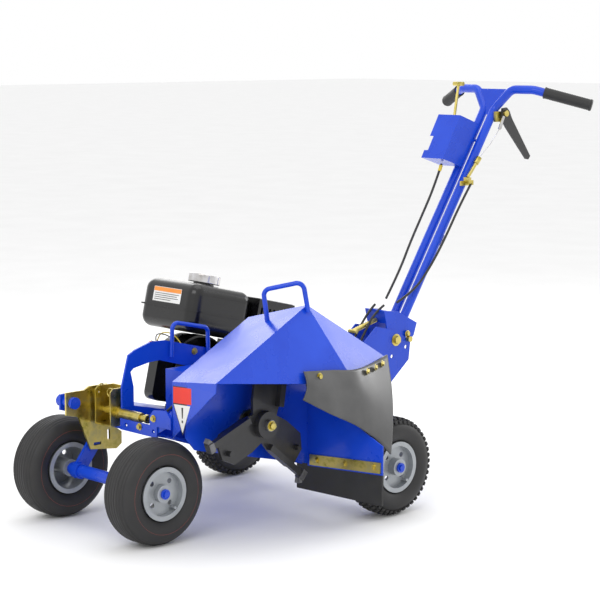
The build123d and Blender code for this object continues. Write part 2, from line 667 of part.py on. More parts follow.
def rotor_arms():
    hub = along_x(ROTOR_X - 22, ROTOR_X + 22, ROTOR_Y, ROTOR_Z, ROTOR_HUB_R)
    shape = hub
    for angle in ARM_ANGLES:
        shape += on_arm(angle, arm_shape())
    return shape - along_x(ROTOR_X - 40, ROTOR_X + 40, ROTOR_Y, ROTOR_Z, ROTOR_SHAFT_R)


def tooth():
    edge = ARM_WIDTH / 2 - CUTTER_BAR / 2
    x0 = ARM_SHEET / 2
    holder = block(x0, x0 + 20, ROTOR_R - 22, ROTOR_R - 6, -edge - 12, -edge + 12)
    tip = plate_x([(ROTOR_R - 20, -edge + 12), (ROTOR_R - 4, -edge - 18), (ROTOR_R - 14, -edge - 26),
                   (ROTOR_R - 21, -edge - 14)], x0 + 3, x0 + 17)
    return holder + tip


def cutter_teeth():
    return Compound(children=[on_arm(angle, tooth()) for angle in ARM_ANGLES])


# ---------------------------------------------------------------- handle
def stem_point(t):
    """A point on the handle's centre plane: t = 0 at the base and 1 at the top bend."""
    return 978 + t * (1362 - 978), 443 + t * (1030 - 443)


def handlebar():
    """Two tubes side by side that part at the top into the two hand bars."""
    shapes = []
    for side in (1, -1):
        def x(offset):
            return HANDLE_X + side * offset
        near = TUBE_SPACING / 2
        y0, z0 = stem_point(0)
        y1, z1 = stem_point(0.985)
        route = [(x(near), y0, z0), (x(near), y1, z1), (x(near + 46), y1 + 22, z1 + 56),
                 (x(near + 118), y1 + 34, z1 + 56), (x(275), 1477, 1035)]
        shapes.append(pipe(route, [34, 34, 40], TUBE_R))
    gusset = plate([(HANDLE_X - near, 1346, 1004), (HANDLE_X + near, 1346, 1004),
                    (HANDLE_X + 62, 1376, 1077), (HANDLE_X - 62, 1376, 1077)], (0, -0.92, 0.38), 3.0)
    return shapes[0] + shapes[1] + gusset


def grip_route(side):
    start = Vector(HANDLE_X + side * 275, 1477, 1035)
    other = Vector(HANDLE_X + side * (TUBE_SPACING / 2 + 118), stem_point(0.985)[0] + 34,
                   stem_point(0.985)[1] + 56)
    return start, (other - start).normalized()


def grips():
    shapes = []
    for side in (1, -1):
        end, back = grip_route(side)
        cap = end - back * 4
        outer = fillet(bar(tuple(cap), tuple(end + back * GRIP_LENGTH), GRIP_R).edges(), 3)
        shapes.append(outer - bar(tuple(end), tuple(end + back * 300), TUBE_R))
    return Compound(children=shapes)


def handle_base():
    """The U-shaped foot of the handle, between the frame cheeks."""
    outer = CHEEK_OFFSET - SHEET / 2 - BODY_GAP
    outline = [(893, 440), (884, 476), (938, 470), (1016, 430), (1004, 396), (975, 372),
               (927, 368), (902, 388)]
    shape = None
    for side in (-1, 1):
        x = HANDLE_X + side * (outer - SHEET / 2) - SHEET / 2
        cheek = plate_x(outline, x, x + SHEET)
        cheek -= along_x(x - 1, x + 5, HANDLE_PIVOT_Y, HANDLE_PIVOT_Z, HANDLE_BOLT_R + RUNNING_GAP)
        cheek -= lock_hole_x(x)
        shape = cheek if shape is None else shape + cheek
    front = plate([(HANDLE_X - outer, 893, 440), (HANDLE_X + outer, 893, 440),
                   (HANDLE_X + outer, 884, 476), (HANDLE_X - outer, 884, 476)], (0, 0.97, 0.24), SHEET)
    web = plate([(HANDLE_X - outer + 1, 940, 462), (HANDLE_X + outer - 1, 940, 462),
                 (HANDLE_X + outer - 1, 996, 420), (HANDLE_X - outer + 1, 996, 420)], (0, 0.6, 0.8), 5)
    return shape + front + web + pull_rod()


def height_pin_place():
    angle = radians(ADJUST_ANGLES[1])
    return HANDLE_PIVOT_Y + ADJUST_R * cos(angle), HANDLE_PIVOT_Z + ADJUST_R * sin(angle)


def lock_hole_x(x):
    y, z = height_pin_place()
    return along_x(x - 1, x + 5, y, z, ADJUST_HOLE_R)


def pivot_bolt():
    reach = CHEEK_OFFSET + SHEET / 2
    shaft = along_x(HANDLE_X - reach - 1, HANDLE_X + reach + 1, HANDLE_PIVOT_Y, HANDLE_PIVOT_Z, HANDLE_BOLT_R)
    heads = [bolt((HANDLE_X + s * reach, HANDLE_PIVOT_Y, HANDLE_PIVOT_Z), (s, 0, 0), 12, 8, 17)
             for s in (-1, 1)]
    return shaft + heads[0] + heads[1]


def height_pin():
    """The spring plunger that holds the handle's height."""
    y, z = height_pin_place()
    x0 = HANDLE_X + CHEEK_OFFSET + SHEET / 2
    knob = along_x(x0 + BODY_GAP, x0 + 12, y, z, 8.0)
    return knob


def pull_rod():
    """A rod with a pull ring that stands forward from the handle's foot."""
    rod = bar((HANDLE_X, 800, 424), (HANDLE_X, 893, 448), 5.0)
    return rod + bar((HANDLE_X - 14, 800, 424), (HANDLE_X + 14, 800, 424), 4.0)


BOX_X0, BOX_X1 = -196.0, -112.0


def control_box():
    """A folded steel box on the front of the stem that holds the control linkage."""
    outline = [(1221, 1006), (1303, 978), (1231, 858), (1149, 884)]
    inner = [(1226, 1000), (1295, 976), (1226, 864), (1157, 888)]
    slot = block(BOX_X0 - 1, BOX_X0 + 14, 1110, 1215, 905, 945)
    bracket = block(BOX_X0 + 30, BOX_X1, 1271, 1300, 928, 934)
    box = plate_x(outline, BOX_X0, BOX_X1) - plate_x(inner, BOX_X0 + 2, BOX_X1 - 2)
    return box - slot + bracket


LEVER_X, LEVER_Y, LEVER_Z = -80.0, 1372.0, 1008.0


def clutch_lever():
    """The hand lever that tightens the belt."""
    outline = [(-10, 15), (8, 17), (20, 6), (30, -14), (116, -128), (108, -138), (98, -136), (6, -40),
               (-14, -14)]
    blade = plate_x([(LEVER_Y + y, LEVER_Z + z) for y, z in outline], LEVER_X, LEVER_X + 7)
    return blade - along_x(LEVER_X - 1, LEVER_X + 8, LEVER_Y, LEVER_Z, 5.0 + RUNNING_GAP)


def stem_fittings():
    """The lever's clamp and the cable adjuster, both on the left tube."""
    return Compound(children=[lever_mount(), cable_adjuster()])


def lever_mount():
    """A clamp on the left tube with the lever's pivot bolt."""
    cheek = block(LEVER_X - 7, LEVER_X - BODY_GAP, LEVER_Y - 34, LEVER_Y + 12, LEVER_Z - 24, LEVER_Z + 6)
    pin = along_x(LEVER_X - 4, LEVER_X + 10, LEVER_Y, LEVER_Z, 5.0)
    head = along_x(LEVER_X + 7 + BODY_GAP, LEVER_X + 14, LEVER_Y, LEVER_Z, 9.0)
    return cheek + pin + head


def control_crank():
    """The hand crank that works the front axle's lock."""
    x = (BOX_X0 + BOX_X1) / 2
    rod = bar((x, 1243, 1004), (x, 1259, 1094), 4.0)
    cross = bar((x - 18, 1259, 1094), (x + 18, 1259, 1094), 6.0)
    return rod + cross


def cable_adjuster():
    bracket = block(-88.4, -84, 1196, 1250, 806, 820) + block(-88.4, -66, 1212, 1220, 812, 830)
    body = bar((-76, 1216, 830), (-76, 1250, 868), 5.0)
    cap = bar((-76, 1250, 868), (-76, 1264, 884), 8.0)
    return bracket + body + cap


CABLE_R = 3.5


def cable(points):
    """A held cable: straight runs joined by arcs that fill the shorter run beside them."""
    radii = []
    for before, here, after in zip(points, points[1:], points[2:]):
        first, second = Vector(*here) - Vector(*before), Vector(*after) - Vector(*here)
        turn = radians(first.get_angle(second))
        radii.append(0.45 * min(first.length, second.length) / tan(turn / 2))
    print("cable radii", [round(r) for r in radii])
    return pipe(points, radii, CABLE_R)


CLUTCH_CABLE = [(-72, 1226, 812), (-70, 1176, 752), (-74, 1122, 664), (-80, 1072, 590),
                (-84, 1006, 520), (-98, 950, 492)]
LOCK_CABLE = [(-154, 1190, 866), (-152, 1156, 800), (-152, 1112, 730), (-150, 1058, 650),
              (-142, 1006, 572), (-136, 946, 500)]


def handle_cables():
    return Compound(children=[cable(CLUTCH_CABLE), cable(LOCK_CABLE)])


LOWER_CABLES = [
    [(-108, 862, 476), (-106, 832, 420), (-104, 790, 360), (-104, 730, 312), (-106, 660, 300),
     (-100, 590, 330), (-96, 530, 400)],
    [(-132, 860, 470), (-134, 826, 410), (-138, 780, 350), (-142, 716, 300), (-140, 650, 284),
     (-136, 590, 310), (-132, 530, 396)],
]
LOCK_CABLE_FRONT = [(-94, 62, 285), (-62, 66, 290), (-30, 74, 318), (-14, 96, 340), (-16, 140, 352)]


def frame_cables():
    return Compound(children=[cable(route) for route in LOWER_CABLES] + [cable(LOCK_CABLE_FRONT)])


# ---------------------------------------------------------------- assembly
# each piece on the left is welded or clamped to the one on the right, and is cut to fit it
FITTED = [("lift_handles", "hood"), ("rotor_wall", "hood"), ("frame_bolts", "rubber_flap"),
          ("stem_fittings", "handlebar"), ("control_box", "handlebar"), ("cutter_teeth", "rotor_arms"),
          ("lock_bracket", "belly_plate"), ("carburettor", "air_cleaner")]


def build():
    front, rear = (FRONT_R, FRONT_WIDTH), (REAR_R, REAR_WIDTH)
    wheels = {"front_left": (FRONT_LEFT_X, 0, front, 1), "front_right": (FRONT_RIGHT_X, 0, front, -1),
              "rear_left": (REAR_LEFT_X, WHEELBASE, rear, 1),
              "rear_right": (REAR_RIGHT_X, WHEELBASE, rear, -1)}
    parts = {}
    for name, (x, y, (radius, width), outward) in wheels.items():
        parts[name + "_tyre"] = tyre(x, y, radius, width)
        parts[name + "_rim"] = rim(x, y, radius, width, outward)
    parts["rear_axle"] = axle(REAR_LEFT_X, REAR_RIGHT_X, WHEELBASE, REAR_R)
    makers = [front_axle, quadrant_plate, pivot_tube, lock_bracket, lock_pin, belly_plate,
              arch_plate, engine_deck, axle_brackets, rotor_wall, bearing_plate,
              frame_cheeks, hood, lift_handles, belt_guard, deflector, deflector_strip,
              rubber_skirt, rubber_flap, frame_bolts, crankcase, cylinder, recoil_start,
              recoil_grip, fuel_tank, fuel_cap, muffler, air_cleaner, carburettor, choke_lever,
              engine_switch, drive_pulley, rotor_pulley, drive_belt, idler_arm,
              idler_pulley, rotor_shaft, rotor_bearings, rotor_arms, cutter_teeth,
              handlebar, grips, handle_base, pivot_bolt, height_pin, control_box, clutch_lever,
              stem_fittings, control_crank, handle_cables, frame_cables]
    for maker in makers:
        parts[maker.__name__] = maker()
    for name, base in FITTED:
        parts[name] = fitted(parts[name], parts[base])
    return parts


def base_shift(parts):
    """The move that puts the origin at the middle of the base of the whole machine."""
    boxes = [shape.bounding_box() for shape in parts.values()]
    low = [min(getattr(b.min, axis) for b in boxes) for axis in "XYZ"]
    high = [max(getattr(b.max, axis) for b in boxes) for axis in "XYZ"]
    return -(low[0] + high[0]) / 2, -(low[1] + high[1]) / 2, -low[2]


def main():
    parts = build()
    shift = base_shift(parts)
    os.makedirs("parts", exist_ok=True)
    for name, shape in parts.items():
        export_step(Pos(*shift) * shape, "parts/" + name + ".step")
    print("parts", len(parts), "shift", [round(s, 3) for s in shift])


if __name__ == "__main__":
    main()
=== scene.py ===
"""Looks of the walk-behind bed edger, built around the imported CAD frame."""
import json
from math import cos, pi, radians, sin, sqrt

import bmesh
import bpy
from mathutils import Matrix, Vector


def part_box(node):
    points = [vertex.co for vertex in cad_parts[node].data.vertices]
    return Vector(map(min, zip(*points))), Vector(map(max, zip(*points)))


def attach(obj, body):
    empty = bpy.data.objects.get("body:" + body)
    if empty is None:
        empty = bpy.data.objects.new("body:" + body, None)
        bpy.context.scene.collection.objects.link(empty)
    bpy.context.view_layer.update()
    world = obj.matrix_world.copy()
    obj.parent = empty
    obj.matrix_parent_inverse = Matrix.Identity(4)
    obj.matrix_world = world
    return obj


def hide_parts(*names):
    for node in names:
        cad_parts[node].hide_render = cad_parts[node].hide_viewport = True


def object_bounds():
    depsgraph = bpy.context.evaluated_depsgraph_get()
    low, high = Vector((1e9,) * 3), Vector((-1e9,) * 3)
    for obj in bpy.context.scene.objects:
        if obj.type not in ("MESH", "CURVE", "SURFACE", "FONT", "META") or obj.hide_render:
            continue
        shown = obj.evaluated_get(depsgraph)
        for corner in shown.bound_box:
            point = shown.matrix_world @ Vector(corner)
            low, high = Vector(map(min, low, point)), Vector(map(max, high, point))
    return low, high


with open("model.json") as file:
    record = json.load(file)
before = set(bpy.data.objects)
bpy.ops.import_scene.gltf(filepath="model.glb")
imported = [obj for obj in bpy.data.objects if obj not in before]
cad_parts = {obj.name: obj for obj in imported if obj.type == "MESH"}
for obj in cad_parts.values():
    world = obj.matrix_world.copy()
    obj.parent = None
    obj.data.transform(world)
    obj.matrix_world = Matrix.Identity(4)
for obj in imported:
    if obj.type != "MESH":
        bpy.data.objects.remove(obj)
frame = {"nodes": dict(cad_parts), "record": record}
nodes = frame["nodes"]
cad_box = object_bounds()

MM = 0.001
FRONT_R, REAR_R = 130.0, 128.0


def middle(node):
    """The centre of a CAD node's box."""
    low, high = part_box(node)
    return (low + high) / 2


WHEEL = middle("front_left_tyre")
GROUND = WHEEL - Vector((0, 0, FRONT_R * MM))


def at(x, y, z):
    """A point in millimetres from the ground under the left front wheel, as a place in metres."""
    return GROUND + Vector((x, y, z)) * MM


# ---------------------------------------------------------------- materials
def new_material(name):
    material = bpy.data.materials.new(name)
    material.use_nodes = True
    return material, material.node_tree.nodes, material.node_tree.links


def noise(tree, links, scale, detail=4.0, rough=0.55):
    coords = tree.new("ShaderNodeTexCoord")
    texture = tree.new("ShaderNodeTexNoise")
    texture.inputs["Scale"].default_value = scale
    texture.inputs["Detail"].default_value = detail
    texture.inputs["Roughness"].default_value = rough
    links.new(coords.outputs["Object"], texture.inputs["Vector"])
    return texture.outputs["Fac"]


def ramp(tree, links, source, stops):
    node = tree.new("ShaderNodeValToRGB")
    while len(node.color_ramp.elements) < len(stops):
        node.color_ramp.elements.new(0.5)
    for element, (place, colour) in zip(node.color_ramp.elements, stops):
        element.position = place
        element.color = (*colour, 1.0)
    links.new(source, node.inputs["Fac"])
    return node.outputs["Color"]


def remap(tree, links, source, low_value, high_value):
    node = tree.new("ShaderNodeMapRange")
    node.inputs["From Min"].default_value = 0.3
    node.inputs["From Max"].default_value = 0.7
    node.inputs["To Min"].default_value = low_value
    node.inputs["To Max"].default_value = high_value
    links.new(source, node.inputs["Value"])
    return node.outputs["Result"]


def bump(tree, links, source, strength, distance):
    node = tree.new("ShaderNodeBump")
    node.inputs["Strength"].default_value = strength
    node.inputs["Distance"].default_value = distance
    links.new(source, node.inputs["Height"])
    return node.outputs["Normal"]


def surface(name, colours, scale, roughness, metallic=0.0, coat=0.0, bump_scale=400.0, bump_strength=0.08,
            bump_distance=0.0004, specular=0.5):
    """A procedural finish: mottled colour, uneven roughness and a fine bump."""
    material, tree, links = new_material(name)
    shader = tree["Principled BSDF"]
    wide = noise(tree, links, scale)
    fine = noise(tree, links, bump_scale, 3.0)
    spread = [(0.3 + 0.4 * i / (len(colours) - 1), c) for i, c in enumerate(colours)]
    links.new(ramp(tree, links, wide, spread), shader.inputs["Base Color"])
    links.new(remap(tree, links, wide, *roughness), shader.inputs["Roughness"])
    links.new(bump(tree, links, fine, bump_strength, bump_distance), shader.inputs["Normal"])
    shader.inputs["Metallic"].default_value = metallic
    shader.inputs["Coat Weight"].default_value = coat
    shader.inputs["Coat Roughness"].default_value = 0.06
    shader.inputs["Specular IOR Level"].default_value = specular
    return material


BLUE = surface("blue_paint", [(0.004, 0.048, 0.52), (0.006, 0.062, 0.60)], 9.0, (0.24, 0.34), coat=0.10,
               bump_scale=260.0, bump_strength=0.04, specular=0.38)
ZINC = surface("yellow_zinc", [(0.36, 0.31, 0.06), (0.66, 0.54, 0.16), (0.52, 0.46, 0.20)], 38.0,
               (0.26, 0.42), metallic=1.0, bump_scale=900.0)
STEEL = surface("bare_steel", [(0.42, 0.42, 0.43), (0.56, 0.56, 0.57)], 30.0, (0.28, 0.42), metallic=1.0,
                bump_scale=700.0)
RIM = surface("rim_enamel", [(0.30, 0.32, 0.34), (0.38, 0.40, 0.42)], 24.0, (0.30, 0.42), metallic=0.35,
              coat=0.2)
TYRE = surface("tyre_rubber", [(0.012, 0.012, 0.013), (0.024, 0.023, 0.023)], 30.0, (0.52, 0.68),
               bump_scale=900.0, bump_strength=0.18)
RUBBER = surface("sheet_rubber", [(0.045, 0.045, 0.046), (0.10, 0.10, 0.10)], 6.0, (0.26, 0.42),
                 bump_scale=620.0, bump_strength=0.10)
DARK_RUBBER = surface("black_rubber", [(0.012, 0.012, 0.012), (0.022, 0.022, 0.022)], 40.0, (0.48, 0.64),
                      bump_scale=1100.0, bump_strength=0.2)
CASTING = surface("cast_aluminium", [(0.055, 0.056, 0.060), (0.085, 0.086, 0.090)], 60.0, (0.42, 0.58),
                  metallic=0.5, bump_scale=520.0, bump_strength=0.35)
GLOSS_BLACK = surface("gloss_black", [(0.002, 0.002, 0.0022), (0.005, 0.005, 0.0055)], 12.0, (0.20, 0.30),
                      coat=0.15, bump_scale=180.0, bump_strength=0.03)
ROTOR_BLACK = surface("rotor_black", [(0.010, 0.010, 0.011), (0.024, 0.024, 0.026)], 22.0, (0.30, 0.44),
                      coat=0.15, bump_scale=340.0, bump_strength=0.12)
PLASTIC = surface("black_plastic", [(0.014, 0.014, 0.015), (0.022, 0.022, 0.022)], 26.0, (0.42, 0.56),
                  bump_scale=1300.0, bump_strength=0.22)
CHROME = surface("chrome", [(0.42, 0.40, 0.38), (0.72, 0.72, 0.74)], 40.0, (0.08, 0.14), metallic=1.0,
                 bump_strength=0.02)
TOOTH = surface("hard_steel", [(0.10, 0.10, 0.11), (0.22, 0.22, 0.23)], 60.0, (0.34, 0.5), metallic=0.9,
                bump_scale=600.0, bump_strength=0.3)
RED = surface("red_label", [(0.70, 0.018, 0.008), (0.78, 0.025, 0.012)], 20.0, (0.34, 0.42))
WHITE = surface("white_label", [(0.74, 0.74, 0.72), (0.80, 0.80, 0.79)], 20.0, (0.36, 0.44))
ORANGE = surface("orange_label", [(0.82, 0.26, 0.03), (0.88, 0.31, 0.05)], 20.0, (0.36, 0.44))
BLACK_INK = surface("black_label", [(0.02, 0.02, 0.02), (0.03, 0.03, 0.03)], 20.0, (0.38, 0.46))
YELLOW = surface("yellow_sleeve", [(0.80, 0.58, 0.04), (0.86, 0.64, 0.06)], 20.0, (0.4, 0.5))

BY_SLOT = {"tyre": TYRE, "rim": RIM, "blue_paint": BLUE, "zinc": ZINC, "rubber": DARK_RUBBER,
           "engine_grey": CASTING, "engine_black": GLOSS_BLACK, "black_plastic": PLASTIC,
           "red_plastic": RED, "chrome": CHROME, "steel": STEEL, "rotor_black": ROTOR_BLACK,
           "tooth_steel": TOOTH, "cable_black": PLASTIC}
for entry in frame["record"]["subparts"]:
    mesh = nodes[entry["node"]].data
    mesh.materials.clear()
    mesh.materials.append(BY_SLOT[entry["material_slot"]])


# ---------------------------------------------------------------- piece helpers
AXIS_R = 0.01
BOX_FACES = [(0, 3, 2, 1), (4, 5, 6, 7), (0, 1, 5, 4), (1, 2, 6, 5), (2, 3, 7, 6), (3, 0, 4, 7)]


def shifted(faces, by):
    """Faces with their corner numbers moved on, so that two shapes share one mesh."""
    return [tuple(i + by for i in face) for face in faces]


def add_piece(name, vertices, faces, material, body, smooth=False):
    mesh = bpy.data.meshes.new(name)
    mesh.from_pydata([tuple(v) for v in vertices], [], faces)
    mesh.update()
    bm = bmesh.new()
    bm.from_mesh(mesh)
    bmesh.ops.recalc_face_normals(bm, faces=bm.faces)
    bm.to_mesh(mesh)
    bm.free()
    mesh.polygons.foreach_set("use_smooth", [smooth] * len(mesh.polygons))
    mesh.materials.append(material)
    obj = bpy.data.objects.new(name, mesh)
    bpy.context.scene.collection.objects.link(obj)
    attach(obj, body)
    return obj


def lathe(centre, axis, profile, segments):
    """Vertices and faces of a closed profile of (along, radius) pairs in mm, turned about an axis."""
    axis = Vector(axis).normalized()
    side = axis.orthogonal().normalized()
    other = axis.cross(side)
    count = len(profile)
    vertices, faces = [], []
    for i in range(segments):
        a = 2 * pi * i / segments
        out = side * cos(a) + other * sin(a)
        vertices += [centre + (axis * along + out * radius) * MM for along, radius in profile]
    for i in range(segments):
        for j in range(count):
            a, b = i * count + j, i * count + (j + 1) % count
            c, d = ((i + 1) % segments) * count + (j + 1) % count, ((i + 1) % segments) * count + j
            faces.append((a, b, c, d))
    return vertices, faces


def cylinder_piece(name, start, end, radius, material, body, segments=24, chamfer=0.8):
    """A round bar with chamfered ends."""
    length = (end - start).length / MM
    profile = [(0, AXIS_R), (0, radius - chamfer), (chamfer, radius), (length - chamfer, radius),
               (length, radius - chamfer), (length, AXIS_R)]
    vertices, faces = lathe(start, end - start, profile, segments)
    return add_piece(name, vertices, faces, material, body)


def hex_bolt(name, place, direction, size, material, body):
    """A domed hexagon head on a washer."""
    direction = Vector(direction).normalized()
    thick = 1.6
    washer = [(0, AXIS_R), (0, size * 1.25), (1.2, size * 1.3), (thick, size * 1.2), (thick, AXIS_R)]
    vertices, faces = lathe(place, direction, washer, 28)
    head = [(thick, AXIS_R), (thick, size), (size * 0.8, size), (size * 0.95, size * 0.85), (size, AXIS_R)]
    more, more_faces = lathe(place, direction, head, 6)
    faces += shifted(more_faces, len(vertices))
    return add_piece(name, vertices + more, faces, material, body)


def smooth_curve(name, points, radius, material, body, cyclic=False):
    """A round wire, rod or cable along one smooth line."""
    data = bpy.data.curves.new(name, "CURVE")
    data.dimensions = "3D"
    data.bevel_depth = radius * MM
    data.bevel_resolution = 4
    data.resolution_u = 10
    data.use_fill_caps = True
    spline = data.splines.new("NURBS")
    spline.points.add(len(points) - 1)
    for point, place in zip(spline.points, points):
        point.co = (*place, 1.0)
    spline.order_u = 3
    spline.use_endpoint_u = not cyclic
    spline.use_cyclic_u = cyclic
    data.materials.append(material)
    obj = bpy.data.objects.new(name, data)
    bpy.context.scene.collection.objects.link(obj)
    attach(obj, body)
    return obj


def flat_label(name, corners, material, body, direction, thickness=0.4):
    """A thin closed plate from its corners, standing off along a direction."""
    off = Vector(direction).normalized() * thickness * MM
    count = len(corners)
    vertices = list(corners) + [c + off for c in corners]
    faces = [tuple(range(count)), tuple(range(2 * count - 1, count - 1, -1))]
    faces += [(i, (i + 1) % count, (i + 1) % count + count, i + count) for i in range(count)]
    return add_piece(name, vertices, faces, material, body)


# ---------------------------------------------------------------- tyres
BEAD_R = 58.0
FRONT_WIDTH, REAR_WIDTH = 102.0, 86.0
SHOULDER_TRIM = 1.5
SECTION_STEPS = 44
SIDEWALL_SWEEP = pi * 0.98
TREAD_EDGE = 0.35
GROOVES = (0.0, 9.5, 19.0, 27.5, 35.0)
GROOVE_HALF_WIDTH, GROOVE_DEPTH = 1.5, 2.4
LINE_X, LINE_R, LINE_SIZE = 50.6, 98.2, 0.6
CARCASS_R = REAR_R - 5.0
STUD_ROWS = (-33.0, -22.0, -11.0, 0.0, 11.0, 22.0, 33.0)
STUDS_ROUND = 46
STUD_SINK, STUD_HEIGHT, STUD_TOP = 1.0, 5.8, 0.72
STUD_HALF_X, STUD_HALF_ROUND = 4.4, 5.6


def shoulder(radius):
    """The round of a tyre's section from its tread into its sidewall."""
    return (radius - BEAD_R) / 2 - SHOULDER_TRIM


def tyre_profile(radius, width, groove):
    """The outline of a tyre's section, with `groove(x)` cut into the tread."""
    corner = shoulder(radius)
    flat = width / 2 - corner
    outline = []
    for i in range(SECTION_STEPS + 1):
        x = -flat + 2 * flat * i / SECTION_STEPS
        outline.append((x, radius, 1.0))
    for i in range(1, SECTION_STEPS + 1):
        a = pi / 2 - SIDEWALL_SWEEP * i / SECTION_STEPS
        outline.append((flat + corner * cos(a), radius - corner + corner * sin(a), max(0.0, sin(a))))
    whole = outline + [(-x, r, k) for x, r, k in reversed(outline[SECTION_STEPS + 1:])]
    return [(x, r - groove(x) * (1.0 if k > TREAD_EDGE else 0.0)) for x, r, k in whole]


def ribs(x):
    """How deep the front tread's grooves are at x."""
    for place in GROOVES:
        if abs(abs(x) - place) < GROOVE_HALF_WIDTH:
            return GROOVE_DEPTH
    return 0.0


def front_tyre(side, body):
    centre = middle(side + "_tyre")
    vertices, faces = lathe(centre, (1, 0, 0), tyre_profile(FRONT_R, FRONT_WIDTH, ribs), 120)
    tyre = add_piece(side + "_tread", vertices, faces, TYRE, body, smooth=True)
    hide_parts(side + "_tyre")
    for sign in (-1, 1):
        profile = [(sign * LINE_X, LINE_R - LINE_SIZE), (sign * (LINE_X + LINE_SIZE), LINE_R),
                   (sign * LINE_X, LINE_R + LINE_SIZE), (sign * (LINE_X - LINE_SIZE), LINE_R)]
        ring, ring_faces = lathe(centre, (1, 0, 0), profile, 120)
        name = side + ("_line_out" if sign > 0 else "_line_in")
        add_piece(name, ring, ring_faces, RED_LINE, body, smooth=True)


def stud(centre, x, angle, base):
    """The corners of one tread block, narrower at its top."""
    vertices = []
    for radius, shrink in ((base, 1.0), (base + STUD_HEIGHT, STUD_TOP)):
        for sx, sa in ((-1, -1), (1, -1), (1, 1), (-1, 1)):
            a = angle + sa * STUD_HALF_ROUND * shrink / radius
            corner = Vector((x + sx * STUD_HALF_X * shrink, radius * cos(a), radius * sin(a)))
            vertices.append(centre + corner * MM)
    return vertices


def rear_tyre(side, body):
    centre = middle(side + "_tyre")
    vertices, faces = lathe(centre, (1, 0, 0), tyre_profile(CARCASS_R, REAR_WIDTH, lambda x: 0.0), 110)
    corner = shoulder(CARCASS_R)
    for row, x in enumerate(STUD_ROWS):
        over = max(0.0, abs(x) - (REAR_WIDTH / 2 - corner))
        base = CARCASS_R - STUD_SINK - (corner - sqrt(corner * corner - over * over))
        for i in range(STUDS_ROUND):
            angle = 2 * pi * (i + 0.5 * (row % 2)) / STUDS_ROUND
            faces += shifted(BOX_FACES, len(vertices))
            vertices += stud(centre, x, angle, base)
    tyre = add_piece(side + "_tread", vertices, faces, TYRE, body, smooth=False)
    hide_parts(side + "_tyre")


RED_LINE = surface("sidewall_line", [(0.20, 0.035, 0.03), (0.26, 0.05, 0.04)], 30.0, (0.5, 0.6))
for wheel in ("front_left", "front_right"):
    front_tyre(wheel, wheel + "_wheel")
for wheel in ("rear_left", "rear_right"):
    rear_tyre(wheel, wheel + "_wheel")


# ---------------------------------------------------------------- rubber flap
FLAP_TOP = [(204, 307, 415), (205, 396, 408), (209, 477, 400), (178, 566, 400), (152, 652, 410)]
FLAP_FOOT = [(226, 285, 350), (243, 360, 308), (256, 440, 268), (268, 498, 226), (277, 539, 184)]
FLAP_COLUMNS, FLAP_ROWS = 40, 24
FLAP_THICKNESS, FLAP_BULGE = 3.6, 10.0
FLAP_THROUGH, FLAP_OUTWARD = Vector((0.85, 0.5, 0)), Vector((0.9, 0.4, 0))


def curve_point(points, t):
    """A point on a smooth line through equally spaced points."""
    place = t * (len(points) - 1)
    i = min(int(place), len(points) - 2)
    f = place - i
    p = [Vector(points[max(0, min(len(points) - 1, i + k))]) for k in (-1, 0, 1, 2)]
    return 0.5 * (2 * p[1] + (p[2] - p[0]) * f + (2 * p[0] - 5 * p[1] + 4 * p[2] - p[3]) * f * f
                  + (3 * p[1] - p[0] - 3 * p[2] + p[3]) * f ** 3)


def rubber_flap():
    """A bulging sheet hung between its top and foot lines, closed all round."""
    columns, rows = FLAP_COLUMNS, FLAP_ROWS
    skins = []
    for side in (0, 1):
        for r in range(rows + 1):
            for c in range(columns + 1):
                t = r / rows
                top, foot = curve_point(FLAP_TOP, c / columns), curve_point(FLAP_FOOT, c / columns)
                point = top + (foot - top) * t + FLAP_OUTWARD * FLAP_BULGE * sin(pi * t)
                skins.append(at(*(point + FLAP_THROUGH * FLAP_THICKNESS * side)))
    stride = columns + 1
    half = stride * (rows + 1)
    faces = []
    for r in range(rows):
        for c in range(columns):
            a = r * stride + c
            faces.append((a, a + 1, a + stride + 1, a + stride))
            faces.append((a + half, a + half + stride, a + half + stride + 1, a + half + 1))
    border = list(range(columns)) + [columns + r * stride for r in range(rows)]
    border += [rows * stride + c for c in range(columns, 0, -1)] + [r * stride for r in range(rows, 0, -1)]
    for a, b in zip(border, border[1:] + border[:1]):
        faces.append((a, a + half, b + half, b))
    flap = add_piece("discharge_flap", skins, faces, RUBBER, "chassis", smooth=True)
    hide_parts("rubber_flap")


rubber_flap()


# ---------------------------------------------------------------- grips
STEM_X = -120
GRIP_RIBS, RIB_START, RIB_PITCH = 52, 3, 2.5
RIB_R, RIB_GAP_R, GRIP_BORE_R = 16.5, 15.4, 12.6


def grips():
    """Two ribbed sleeves over the ends of the bar."""
    for sign, name in ((1, "left_grip"), (-1, "right_grip")):
        end = Vector((STEM_X + sign * 275, 1477, 1035))
        inner = Vector((STEM_X + sign * 137, 1390.2, 1077.2))
        back = (inner - end).normalized()
        profile = [(-4, AXIS_R), (-4, 14.5), (-2.5, RIB_R), (1, 17.2)]
        for i in range(GRIP_RIBS):
            profile.append((RIB_START + RIB_PITCH * i, RIB_GAP_R if i % 2 else RIB_R))
        profile += [(134, 17.2), (137, 16.4), (137, GRIP_BORE_R), (134, GRIP_BORE_R), (0, GRIP_BORE_R),
                    (0, AXIS_R)]
        vertices, faces = lathe(at(*end), back, profile, 40)
        add_piece(name, vertices, faces, DARK_RUBBER, "handle", smooth=True)
    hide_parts("grips")


grips()


